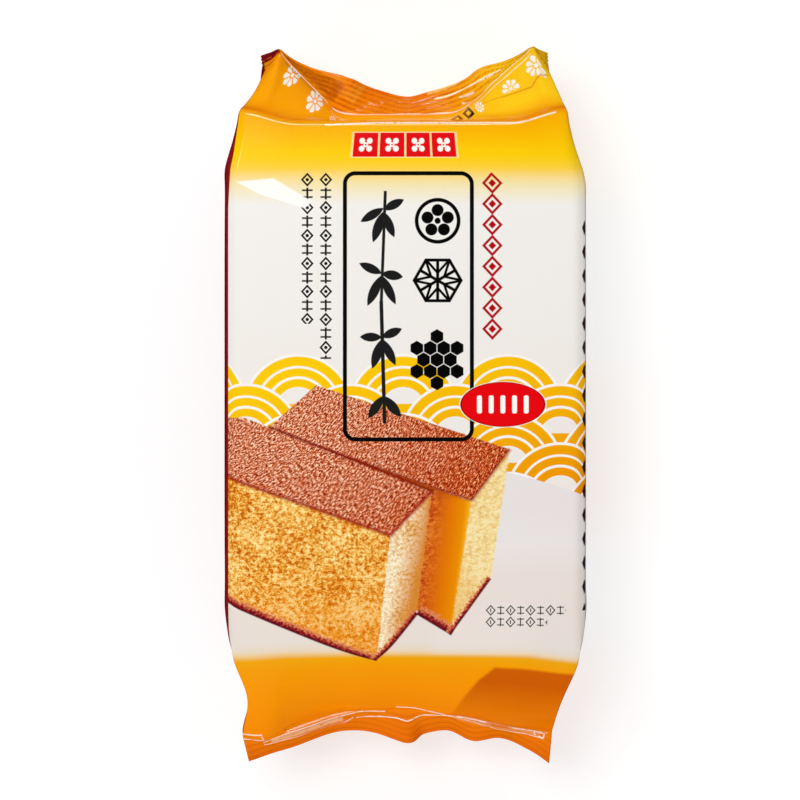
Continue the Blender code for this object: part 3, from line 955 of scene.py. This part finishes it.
def print_waves(paper, point, x, y):
    """The rings are worked out from the distance to the middle of the lowest row's fan that covers a place."""
    distance = WAVE_RADIUS * 1.5
    rise = WAVE_RADIUS
    for row in range(WAVE_ROWS):
        middle = WAVE_MIDDLE[0] + WAVE_PITCH / 2 * (row % 2)
        height = WAVE_MIDDLE[1] - WAVE_ROW * row
        nearest = place(around(x, WAVE_PITCH, middle), y)
        fan = vector("DISTANCE", nearest, (0.0, height, 1.0))
        share = inside(fan - WAVE_RADIUS, 0.02)
        above = y - height
        distance = fan if row == 0 else number("MULTIPLY_ADD", fan - distance, share, distance)
        rise = above if row == 0 else number("MULTIPLY_ADD", above - rise, share, rise)
    band = inside(most(rise - WAVE_NOTCH[0], distance - WAVE_NOTCH[1]))
    for outer, inner in WAVE_BANDS:
        middle, half = (outer + inner) / 2, (outer - inner) / 2
        band = number("MAXIMUM", band, inside(abs(distance - middle) - half))
    tone = between(y * 0.8 - x * 0.2, -38.0, 8.0)
    gold = lay(colour(238, 138, 2), colour(252, 202, 10), tone)
    paper = lay(paper, BRIGHT_WHITE, inside(distance - WAVE_RADIUS) * between(distance, 6.0, 6.9) * 0.6)
    return lay(paper, gold, band)


def print_table(paper, point, x, y):
    """The pale table top under the cake, with its far edge on the right."""
    edge = most(*[from_half_plane(point, a, b) for a, b in zip(TABLE_EDGE, TABLE_EDGE[1:])])
    below = inside(edge) * inside(-(x - 8.0), 4.0)
    tint = lay(colour(233, 226, 225), colour(240, 236, 233), between(y, -35, -70))
    paper = lay(paper, tint, below * inside(-77.0 - y, 4.0))
    low_left = inside(y + 50.0, 8.0) * inside(-78.0 - y, 3.0)
    return lay(paper, colour(233, 220, 210), low_left * 0.7)


def crust_ink(point, x, y):
    """Baked top: fine slanting ripples, pale where they shine and dark between them, redder to the right."""
    slant = number("MULTIPLY_ADD", between(x, -50.0, 26.0), math.radians(-24), math.radians(-31))
    ripples = vector("MULTIPLY", rotate(place(x + 20.0, y + 26.0), slant), (0.95, 2.3, 1.0))
    grain = noise(ripples, 1.0, 3.2, 0.85)
    shining = ramp(grain, (
        (0.415, colour(104, 16, 8)),
        (0.465, colour(188, 58, 20)),
        (0.51, colour(218, 104, 46)),
        (0.545, colour(246, 168, 112)),
        (0.58, colour(255, 238, 214)),
    ))
    deep = ramp(grain, (
        (0.41, colour(96, 8, 2)),
        (0.465, colour(170, 40, 6)),
        (0.52, colour(200, 66, 16)),
        (0.56, colour(232, 120, 56)),
        (0.60, colour(255, 204, 150)),
    ))
    patches = (noise(place(x, y), 0.09, 1.0) - 0.5) * 1.2
    return lay(shining, deep, between(x * 0.9 - y * 0.15, -24.0, 24.0) + patches)


def crumb_ink(point, tones, size=1.0):
    """Sponge crumb in four tones, from its small dark pores to its pale walls."""
    pores = noise(vector("MULTIPLY", point, (0.75 / size, 0.85 / size, 1.0)), 1.0, 4.0, 0.85)
    clumps = noise(vector("MULTIPLY", point, (0.11, 0.13, 1.0)), 1.0, 1.5)
    grain = number("MULTIPLY_ADD", clumps, 0.2, pores * 0.8)
    return ramp(grain, [(at, colour(*tone)) for at, tone in zip((0.425, 0.473, 0.52, 0.57), tones)])


def rotate(point, angle):
    return shader("ShaderNodeVectorRotate", {"Vector": point, "Angle": angle}, rotation_type="Z_AXIS")


def print_bottom_crust(paper, point, grit, start, finish, width):
    """The crust a slice stands on: its lower edge is clean, its upper one ragged and paler."""
    x, y = finish[0] - start[0], finish[1] - start[1]
    length = math.hypot(x, y)
    x, y = x / length, y / length
    middle = ((start[0] + finish[0]) / 2, (start[1] + finish[1]) / 2)
    along = abs(vector("DOT_PRODUCT", point, (x, y, -x * middle[0] - y * middle[1]))) - length / 2
    height = from_half_plane(point, start, finish)
    rough = number("MULTIPLY_ADD", grit, 4.2, height - 2.1)
    tone = ramp(number("MULTIPLY_ADD", grit, 1.1, height * (0.8 / width) - 0.4), (
        (0.20, colour(86, 8, 28)),
        (0.45, colour(132, 24, 34)),
        (0.62, colour(186, 74, 46)),
        (0.85, colour(226, 140, 92)),
    ))
    return lay(paper, tone, inside(most(-height, rough - width, along), 0.35))


def print_cake(paper, point, x, y):
    grit_place = vector("MULTIPLY", point, (1.25, 1.25, 1.0))
    grit = noise(grit_place, 1.0, 2.0)
    shifts = shader("ShaderNodeTexNoise", {"Vector": grit_place, "Scale": 1.0, "Detail": 2.0}, 1)
    ragged = vector("MULTIPLY_ADD", shifts, (1.5, 1.5, 0.0), vector("SUBTRACT", point, (0.75, 0.75, 0.0)))
    crust = crust_ink(point, x, y)

    # The far slice: its pale end, then the side in shade.
    far_end = crumb_ink(point, ((226, 170, 84), (240, 204, 130), (247, 222, 158), (252, 236, 192)), 1.2)
    far_end = lay(far_end, colour(248, 226, 162), 0.35)
    far_end = lay(far_end, colour(236, 178, 84), between(y + x * 0.35, -44.0, -60.0) * 0.6)
    paper = lay(paper, far_end, inside(from_polygon(ragged, list(BACK_END)), 0.4))
    from_near = x - (y + 30.2) * 0.1236 - 7.5
    shade = ramp(from_near / 12.0, (
        (0.02, colour(196, 74, 30)),
        (0.22, colour(216, 98, 16)),
        (0.60, colour(230, 124, 2)),
        (0.84, colour(236, 142, 4)),
        (0.96, colour(246, 176, 28)),
    ))
    rough = crumb_ink(point, ((168, 44, 16), (206, 84, 22), (226, 120, 24), (242, 160, 60)))
    shade = lay(shade, rough, between(from_near, 5.5, -0.5) * 0.75)
    shade = lay(shade, colour(150, 44, 12), between(y, -33.0, -29.5) * 0.5)
    paper = lay(paper, shade, inside(from_polygon(ragged, list(BACK_SIDE)), 0.4))
    for start, finish, width in FAR_CRUST:
        paper = print_bottom_crust(paper, point, grit, start, finish, width)
    paper = lay(paper, crust, inside(from_polygon(point, list(BACK_TOP)), 0.3))
    paper = lay(paper, colour(150, 18, 12), inside(from_line(point, BACK_TOP[3], BACK_TOP[2], 1.0), 0.9) * 0.7)
    paper = lay(paper, colour(140, 16, 14), inside(from_line(point, BACK_TOP[3], BACK_TOP[0], 0.7), 0.7) * 0.75)

    # The near slice.
    near_side = crumb_ink(point, ((190, 80, 10), (234, 148, 34), (247, 188, 78), (255, 232, 160)))
    near_side = lay(near_side, colour(240, 138, 16), between(y - x * 0.05, -50.0, -74.0) * 0.5)
    paper = lay(paper, near_side, inside(from_polygon(ragged, list(FRONT_SIDE)), 0.4))
    near_end = crumb_ink(point, ((206, 136, 56), (240, 202, 136), (250, 228, 180), (255, 247, 224)), 0.8)
    from_side = x - (y + 42.9) * 0.108 + 4.6
    tanned = between(from_side - (y + 42.9) * 0.10, 3.5, 10.5)
    near_end = lay(near_end, colour(216, 130, 32), tanned * 0.95)
    near_end = lay(near_end, colour(255, 242, 216), between(from_side, 4.5, 0.5) * 0.4)
    paper = lay(paper, near_end, inside(from_polygon(ragged, list(FRONT_END)), 0.4))
    for start, finish, width in NEAR_CRUST:
        paper = print_bottom_crust(paper, point, grit, start, finish, width)
    paper = lay(paper, crust, inside(from_polygon(point, list(FRONT_TOP)), 0.3))
    for start, finish in ((FRONT_TOP[4], FRONT_TOP[3]), (FRONT_TOP[3], FRONT_TOP[2])):
        paper = lay(paper, colour(160, 10, 10), inside(from_line(point, start, finish, 1.1), 0.9) * 0.85)
    gap = inside(from_line(point, (-40.0, -11.4), (8.0, -30.2), 0.9), 0.7)
    return lay(paper, colour(128, 14, 8), gap * 0.85)


def print_panel(paper, point, x, y):
    box = from_box(point, PANEL_MIDDLE, *PANEL_SIZE, PANEL_ROUNDING)
    line = abs(box + PANEL_LINE / 2) - PANEL_LINE / 2
    paper = lay(paper, BLACK, inside(line))

    # Bamboo on the left, in brush strokes: a stem and leaves in groups.
    strokes = [from_line(point, (-6.0, 57.0), (-7.2, 24.0), 0.9), from_line(point, (-7.2, 25.0), (-6.2, -10.5), 1.1)]
    for base, tip, width in BAMBOO_LEAVES:
        strokes.append(from_leaf(point, base, tip, width))
    bamboo = least(*strokes)
    paper = lay(paper, CHARCOAL, inside(bamboo))

    # A plum blossom in a ring, and a hemp-leaf star.
    petal = turned(point, BLOSSOM_MIDDLE, 5, math.pi / 2)
    middle = (*BLOSSOM_MIDDLE, 1.0)
    from_middle = vector("DISTANCE", point, middle)
    blossom = least(from_disc(petal, (3.1, 0), 1.75), abs(from_middle - 6.1) - 0.55, from_middle - 0.9)
    star = turned(point, STAR_MIDDLE, 6, math.pi / 6)
    sx, sy = parts(star)
    spokes = most(abs(sy) - 0.45, sx - 6.2)
    rim = abs(sx - 5.9) - 0.45
    ray = most(abs(abs(sy) - (sx - 2.2) * 0.9) - 0.5, abs(sx - 3.9) - 1.9)
    # Honeycomb.
    cell = turned(point, COMB_MIDDLE, 6)
    cell = vector("ABSOLUTE", cell)
    places = ((0, 0), (COMB_PITCH, 0), (COMB_PITCH * 1.5, COMB_PITCH * 0.866))
    cells = least(*[from_hexagon(cell, at, COMB_CELL) for at in places])
    dark = least(blossom, spokes, rim, ray, cells)
    return lay(paper, BLACK, inside(dark))


BAMBOO_LEAVES = (
    ((-6.5, 52.0), (-13.2, 48.0), 2.6),
    ((-6.5, 51.5), (-0.6, 54.5), 2.6),
    ((-6.6, 51.0), (-9.6, 42.0), 2.8),
    ((-6.6, 51.0), (-3.4, 43.5), 2.6),
    ((-7.0, 33.0), (-13.6, 36.0), 2.6),
    ((-7.0, 33.0), (-0.9, 32.0), 2.8),
    ((-7.1, 32.5), (-11.2, 23.6), 2.8),
    ((-7.1, 32.5), (-3.0, 24.0), 2.6),
    ((-7.0, 14.5), (-13.4, 14.6), 2.6),
    ((-7.0, 14.5), (-1.2, 17.0), 2.6),
    ((-7.0, 14.0), (-9.8, 5.4), 2.8),
    ((-6.9, 14.0), (-3.0, 6.4), 2.6),
    ((-6.6, -2.5), (-11.0, -9.0), 2.7),
    ((-6.6, -2.5), (-1.4, -8.6), 2.8),
)
BLOSSOM_MIDDLE = (9.2, 48.3)
STAR_MIDDLE = (9.2, 31.0)
COMB_MIDDLE = (9.0, 8.0)
COMB_CELL = 1.84
COMB_PITCH = 3.9


def from_hexagon(point, middle, apothem):
    """Distance from a hexagon that stands on a corner, or lies in line with a neighbour on its right."""
    x, y = parts(vector("ABSOLUTE", vector("SUBTRACT", point, (*middle, 1.0))))
    return most(x, x * 0.5 + y * 0.866) - apothem


def print_marks(paper, point, x, y):
    # Four red squares, each with a white flower of four petals.
    across = around(x, SQUARE_PITCH, SQUARES_MIDDLE[0] + SQUARE_PITCH / 2)
    square = place(across, y)
    four = abs(x - SQUARES_MIDDLE[0]) - 2 * SQUARE_PITCH
    box = most(from_box(square, (0, SQUARES_MIDDLE[1]), *SQUARE_SIZE), four)
    paper = lay(paper, colour(255, 246, 205), inside(box - 0.3, 0.3) * 0.8)
    paper = lay(paper, colour(228, 12, 20), inside(box - 0.1))
    petal = turned(square, (0, SQUARES_MIDDLE[1]), 4, math.pi / 4)
    flower = least(from_disc(petal, (1.6, 0), 0.85), abs(vector("LENGTH", flat(petal)) - 0.5) - 0.22)
    paper = lay(paper, colour(255, 250, 240), inside(most(flower, four)))

    # Fine marks in two columns: lozenges by turns with small crossed ties.
    for middle, top, bottom in FINE_COLUMNS:
        span = abs(y - (top + bottom) / 2) - (top - bottom) / 2
        mark = place(x - middle, around(y, FINE_PITCH * 2, top - FINE_PITCH / 2))
        aside, from_lozenge_middle = abs(parts(mark)[0]), abs(parts(mark)[1])
        from_tie = abs(from_lozenge_middle - FINE_PITCH)
        shapes = least(
            abs(from_lozenge(mark, (0, 0), 3.0, 3.3)) - 0.27,
            from_disc(mark, (0, 0), 0.5),
            most(aside - 1.55, abs(from_tie - 1.0) - 0.25),
            most(aside - 0.3, from_tie - 1.75),
        )
        paper = lay(paper, colour(24, 22, 22), inside(most(shapes, span)))

    # Red lozenges in one column.
    middle, top, bottom = LOZENGE_COLUMN
    span = abs(y - (top + bottom) / 2) - (top - bottom) / 2
    mark = place(x - middle, around(y, LOZENGE_PITCH, top - LOZENGE_PITCH / 2))
    shapes = least(abs(from_lozenge(mark, (0, 0), 5.0, 5.3)) - 0.37, from_lozenge(mark, (0, 0), 2.3, 2.4))
    paper = lay(paper, DEEP_RED, inside(most(shapes, span)))

    # The red oval, with one white bar for each slice.
    oval = vector("MULTIPLY", vector("SUBTRACT", point, (*OVAL_MIDDLE, 1.0)), (1.0, OVAL_SIZE[0] / OVAL_SIZE[1], 0.0))
    oval = vector("LENGTH", oval) - OVAL_SIZE[0] / 2
    paper = lay(paper, BRIGHT_WHITE, inside(oval - 0.3, 0.3) * 0.8)
    paper = lay(paper, colour(150, 0, 6), inside(oval))
    paper = lay(paper, RED, inside(oval + 0.4, 0.3))
    bar = place(around(x, 3.4, OVAL_MIDDLE[0]), y)
    bars = most(from_box(bar, (0, OVAL_MIDDLE[1]), 1.4, 5.2, 0.5), abs(x - OVAL_MIDDLE[0]) - 8.4)
    paper = lay(paper, BRIGHT_WHITE, inside(bars))

    # Two rows of small marks low on the right.
    for left, right, height in CAPTION_ROWS:
        mark = place(around(x, CAPTION_PITCH * 2, left + CAPTION_PITCH / 2), y - height)
        aside, up = (abs(part) for part in parts(mark))
        shapes = least(
            abs(from_lozenge(mark, (0, 0), 2.5, 2.7)) - 0.16,
            most(aside - 0.16, up - 0.5),
            most(abs(aside - CAPTION_PITCH) - 1.0, abs(up - 0.85) - 0.15),
            most(abs(aside - CAPTION_PITCH) - 0.16, up - 1.25),
        )
        shapes = most(shapes, abs(x - (left + right) / 2) - (right - left) / 2)
        paper = lay(paper, colour(38, 34, 34), inside(shapes))

    # Small dark marks just round the right edge.
    mark = place(x - 53.7, around(y, 6.96, 46.4))
    shapes = least(from_lozenge(mark, (0, 0), 2.6, 4.6), most(abs(parts(mark)[0] - 0.9) - 0.35, abs(parts(mark)[1]) - 2.0))
    return lay(paper, colour(48, 22, 34), inside(most(shapes, abs(y + 7.4) - 57.5)))


def flat(point):
    return vector("MULTIPLY", point, (1.0, 1.0, 0.0))


def drawn_flat(point, middle, across, along):
    """The place counted from a middle, so that what is drawn there looks even although the flap slants."""
    x, y = parts(vector("SUBTRACT", point, (*middle, 0.0)))
    return place(x * across[0] + y * along[0], x * across[1] + y * along[1])


def print_flowers(paper, point, x, y):
    """White flowers along the top flap, and dark lozenges low on its right."""
    white = colour(252, 248, 240)
    on_flap = inside(abs(y - HALF_LENGTH - FLAP_LENGTH[1] / 2) - (FLAP_LENGTH[1] / 2 - 0.5))
    tucked = most(from_half_plane(point, *FLAP_TUCK), FLAP_TUCK[0][0] - x)
    for middle, across, along, radius in FLOWERS:
        flower = drawn_flat(point, middle, across, along)
        petal = turned(flower, (0, 0), 8, math.pi / 8)
        px, py = parts(petal)
        from_middle = vector("LENGTH", flat(petal))
        tip = from_disc(petal, (radius * 0.78, 0), radius * 0.27)
        wedge = most(abs(py) - (px * 0.36 - 0.12), from_middle - radius * 0.8, radius * 0.33 - from_middle)
        shapes = least(most(tip, abs(py) - (px * 0.36 - 0.1)), wedge, from_middle - radius * 0.2)
        paper = lay(paper, white, inside(shapes) * on_flap * inside(-tucked, 0.3) * 0.95)
    for middle, across, along in DARK_LOZENGES:
        mark = drawn_flat(point, middle, across, along)
        paper = lay(paper, colour(30, 18, 8), inside(abs(from_lozenge(mark, (0, 0), 2.7, 2.7)) - 0.38) * on_flap)
    return paper


def print_back(paper, point, x, y):
    """The back, out of sight in use: the ground's colours, a bare label field in a thin line, and the seam."""
    paper = lay(paper, print_ground(point, x, y), inside(BACK_PRINT_EDGE - abs(x)))
    field = from_box(place(abs(x), y), (BACK_FIELD_MIDDLE, 0.0), *BACK_FIELD_SIZE, 2.0)
    paper = lay(paper, BRIGHT_WHITE, inside(field))
    paper = lay(paper, DEEP_RED, inside(abs(field + 1.0) - 0.2))
    return lay(paper, colour(246, 172, 24), inside(x + GIRTH / 2 - FIN_REACH))


def printed_film():
    material = bpy.data.materials.new("printed_film")
    material.use_nodes = True
    Field.tree = material.node_tree
    finish = material.node_tree.nodes["Principled BSDF"]
    sheet = shader("ShaderNodeUVMap", {}, uv_map="sheet")
    u, v = parts(sheet)
    x = number("MULTIPLY_ADD", u, 1 / MM, -GIRTH / 2)
    y = number("MULTIPLY_ADD", v, 1 / MM, SHEET_FOOT)
    point = place(x, y)
    paper = print_ground(point, x, y)
    paper = print_waves(paper, point, x, y)
    paper = print_table(paper, point, x, y)
    paper = print_cake(paper, point, x, y)
    paper = print_panel(paper, point, x, y)
    paper = print_marks(paper, point, x, y)
    paper = print_flowers(paper, point, x, y)
    # Painted shade in the seals' rib grooves, as weighted per vertex in make_film.
    groove = shader("ShaderNodeAttribute", {}, output=2, attribute_name="rib_shade")
    paper = lay(paper, colour(196, 78, 4), groove)
    # Painted highlights, reflections and shade over the print, along folds and seals.
    paper = paint_light_and_shade(paper, point, x, y)
    shoulder = between(y, 52.0, 66.0) * between(y, 80.0, 68.0)
    paper = lay(paper, SIDE_RED, inside(x - SIDE_PRINT_EDGE - shoulder * 1.2))
    paper = print_back(paper, point, x, y)
    Field.tree.links.new(paper.socket, finish.inputs["Base Color"])
    finish.inputs["Roughness"].default_value = 0.12
    finish.inputs["IOR"].default_value = 1.3
    return material


sheet_points, sheet_columns, sheet_along = draw_film()
sheet_points = fit(sheet_points)
print_material = printed_film()

film = make_film(sheet_points, sheet_columns, sheet_along)
film.data.materials.append(print_material)
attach(film, "root")
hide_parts("cake_pack")

back_seam = make_back_seam(sheet_points, sheet_columns, sheet_along)
back_seam.data.materials.append(print_material)
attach(back_seam, "root")


def make_floor():
    """Pale floor with a little light of its own, so that the shadow on it stays faint."""
    bpy.ops.mesh.primitive_plane_add(size=6)
    floor = bpy.context.object
    floor.name = "floor"
    material = bpy.data.materials.new("pale_floor")
    material.use_nodes = True
    finish = material.node_tree.nodes["Principled BSDF"]
    finish.inputs["Base Color"].default_value = (0.48, 0.478, 0.48, 1)
    finish.inputs["Roughness"].default_value = 0.8
    finish.inputs["Emission Color"].default_value = (1, 1, 1, 1)
    finish.inputs["Emission Strength"].default_value = 0.58
    floor.data.materials.append(material)
    floor.visible_glossy = False


def softbox(name, place, size, radiance, mirrored=False):
    """A square lamp that faces the pack's middle, by its brightness per unit of area. A mirrored one makes
    the film's highlights and nothing else; the others light it and leave no veil on its colours."""
    lamp = bpy.data.lights.new(name, "AREA")
    lamp.shape = "RECTANGLE"
    lamp.size, lamp.size_y = size
    lamp.energy = radiance * math.pi * size[0] * size[1]
    holder = bpy.data.objects.new(name, lamp)
    holder.location = place
    holder.rotation_euler = (Vector((0, 0, 0.03)) - Vector(place)).to_track_quat("-Z", "Y").to_euler()
    holder.visible_glossy = mirrored
    holder.visible_diffuse = not mirrored
    bpy.context.scene.collection.objects.link(holder)


make_floor()
softbox("key", (-0.30, 0.24, 0.93), (0.48, 0.48), 6.5)
softbox("low_fill", (-0.10, -1.05, 0.55), (2.0, 0.90), 2.0)
softbox("far_fill", (0.0, 1.05, 0.55), (2.0, 0.90), 1.5)
softbox("right_fill", (0.80, 0.10, 0.70), (0.50, 0.80), 0.9)
softbox("strip", (-0.12, 0.45, 0.96), (0.60, 0.05), 60.0, mirrored=True)
world = bpy.data.worlds.new("studio")
world.use_nodes = True
world.node_tree.nodes["Background"].inputs["Color"].default_value = (1, 1, 1, 1)
world.node_tree.nodes["Background"].inputs["Strength"].default_value = 0.10
world.cycles_visibility.glossy = False
bpy.context.scene.world = world
bpy.context.scene.view_settings.view_transform = "Standard"

camera = bpy.data.objects.new("camera", bpy.data.cameras.new("camera"))
camera.data.lens = 120
camera.data.sensor_width = 36
camera.location = (-0.0016, -0.0038 + 0.005, 0.054 + 0.773)
bpy.context.scene.collection.objects.link(camera)
bpy.context.scene.camera = camera
